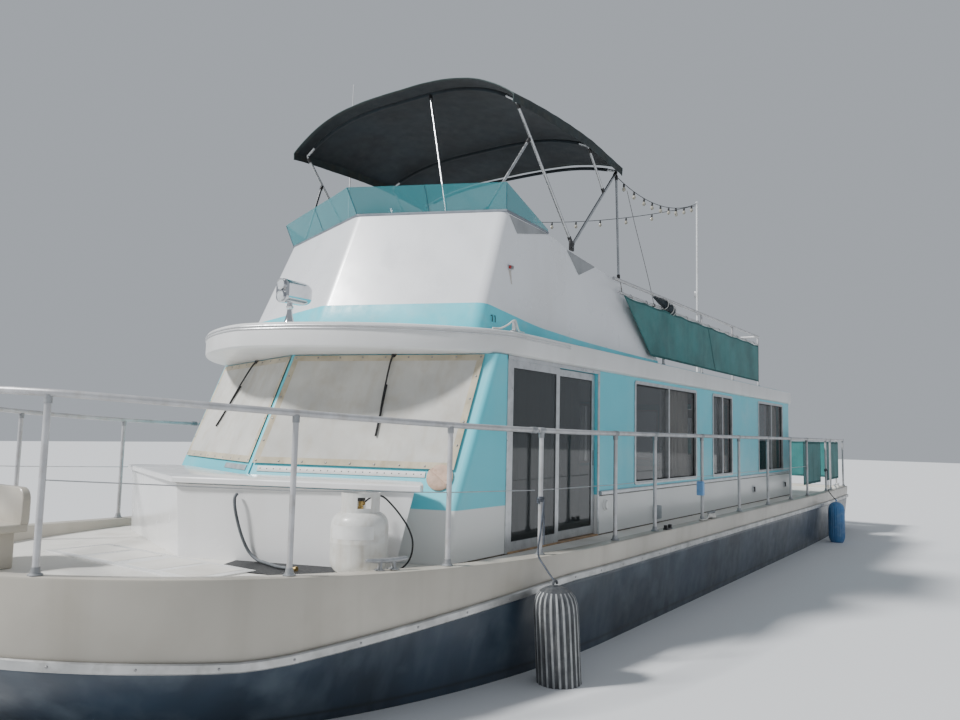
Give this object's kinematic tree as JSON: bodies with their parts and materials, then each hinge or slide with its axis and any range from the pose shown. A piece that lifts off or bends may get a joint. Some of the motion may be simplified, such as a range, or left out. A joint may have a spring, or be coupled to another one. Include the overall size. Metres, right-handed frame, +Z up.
{
  "type": "houseboat",
  "caption": "Motor houseboat with a long cabin behind a raked V front, side decks with rails, and a canvas-topped upper helm on the roof.",
  "frame": {"origin": "amidships on the centreline, at the waterline", "axes": "+X towards the bow, +Y to port, +Z up"},
  "size_m": [13.101, 3.946, 5.92],
  "materials": {
    "hull_navy": "chalky dark blue gelcoat",
    "deck_gelcoat": "aged beige gelcoat",
    "white_gelcoat": "white gelcoat",
    "turquoise_paint": "satin turquoise paint",
    "rail_pipe": "dull galvanised pipe",
    "stainless_tube": "polished tube",
    "lamp_chrome": "chrome",
    "rub_aluminium": "worn aluminium",
    "window_glass": "dark glass in aluminium frames",
    "screen_teal": "tinted acrylic",
    "cover_canvas": "stained off-white canvas",
    "top_canvas": "dark woven canvas",
    "shade_green": "teal shade netting",
    "hose_rubber": "matt black",
    "fender_grey": "ribbed grey",
    "fender_blue": "smooth blue",
    "propeller_bronze": "cast bronze",
    "engine_iron": "painted iron",
    "sole_wood": "varnished sole boards"
  },
  "bodies": {
    "boat": {"hull": "hull_navy", "deck": "deck_gelcoat", "gunwale": "deck_gelcoat", "rub_rail": "rub_aluminium", "engine": "engine_iron", "shaft": "stainless_tube", "cabin_sole": "sole_wood", "cabin_side_port": "turquoise_paint", "cabin_side_starboard": "turquoise_paint", "window_port_1": "window_glass", "window_port_2": "window_glass", "window_port_3": "window_glass", "window_starboard_1": "window_glass", "window_starboard_2": "window_glass", "window_starboard_3": "window_glass", "door_port_fixed": "window_glass", "door_starboard_fixed": "window_glass", "cabin_front": "turquoise_paint", "windshield": "window_glass", "windshield_cover_port": "cover_canvas", "windshield_cover_starboard": "cover_canvas", "cabin_aft": "turquoise_paint", "roof": "white_gelcoat", "flybridge": "white_gelcoat", "tinted_screen": "screen_teal", "helm_console": "white_gelcoat", "helm_seat": "white_gelcoat", "top_frame": "stainless_tube", "top_canvas": "top_canvas", "rail_port": "rail_pipe", "rail_starboard": "rail_pipe", "rail_bow": "rail_pipe", "rail_stern": "rail_pipe", "sundeck_rail": "rail_pipe", "shade_cloth_port": "shade_green", "shade_cloth_starboard": "shade_green", "stern_cloth_port": "shade_green", "stern_cloth_aft": "shade_green", "flagpole": "white_gelcoat", "antenna": "white_gelcoat", "searchlight_base": "lamp_chrome", "locker": "white_gelcoat", "bow_seat": "deck_gelcoat", "gas_cylinder": "white_gelcoat", "fender_fore": "fender_grey", "fender_aft": "fender_blue", "gas_hose": "hose_rubber", "drain_hose": "hose_rubber", "light_string_port": "hose_rubber", "light_string_cross": "hose_rubber"},
    "wheel": {"helm_wheel": "stainless_tube"},
    "rudder_body": {"rudder": "stainless_tube"},
    "propeller_body": {"propeller": "propeller_bronze"},
    "port_door": {"door_port": "window_glass"},
    "starboard_door": {"door_starboard": "window_glass"},
    "after_door": {"aft_door": "white_gelcoat"},
    "lid": {"locker_lid": "white_gelcoat"},
    "forward_hatch": {"deck_hatch": "white_gelcoat"},
    "after_hatch": {"engine_hatch": "white_gelcoat"},
    "lamp": {"searchlight": "lamp_chrome"}
  },
  "joints": [
    {"name": "wheel_turn", "type": "hinge", "parent": "boat", "child": "wheel", "pos_m": [2.7, 0.52, 2.82], "axis": [-0.9394, 0, 0.3429], "range_deg": [-540, 540]},
    {"name": "rudder_turn", "type": "hinge", "parent": "boat", "child": "rudder_body", "pos_m": [-6.17, 0, -0.55], "axis": [0, 0, 1], "range_deg": [-36, 36]},
    {"name": "propeller_spin", "type": "hinge", "parent": "boat", "child": "propeller_body", "pos_m": [-5.72, 0, -0.735], "axis": [0.9867, 0, 0.1628], "continuous": true},
    {"name": "port_door_slide", "type": "slide", "parent": "boat", "child": "port_door", "axis": [1, 0, 0], "range_m": [0, 0.6]},
    {"name": "starboard_door_slide", "type": "slide", "parent": "boat", "child": "starboard_door", "axis": [1, 0, 0], "range_m": [0, 0.6]},
    {"name": "after_door_swing", "type": "hinge", "parent": "boat", "child": "after_door", "pos_m": [-4.005, 0.35, 1.2], "axis": [0, 0, -1], "range_deg": [0, 105]},
    {"name": "locker_lid_lift", "type": "hinge", "parent": "boat", "child": "lid", "pos_m": [4.16, 0, 1.145], "axis": [0, -1, 0], "range_deg": [0, 50]},
    {"name": "deck_hatch_lift", "type": "hinge", "parent": "boat", "child": "forward_hatch", "pos_m": [5.38, 0, 0.66], "axis": [0, 1, 0], "range_deg": [0, 80]},
    {"name": "engine_hatch_lift", "type": "hinge", "parent": "boat", "child": "after_hatch", "pos_m": [-5.95, 0, 0.66], "axis": [0, -1, 0], "range_deg": [0, 85]},
    {"name": "searchlight_pan", "type": "hinge", "parent": "boat", "child": "lamp", "pos_m": [4.28, 0.12, 2.372], "axis": [0, 0, 1], "range_deg": [-170, 170]}
  ],
  "couplings": [
    {"joint": "rudder_turn", "follows": "wheel_turn", "ratio": -0.064}
  ]
}
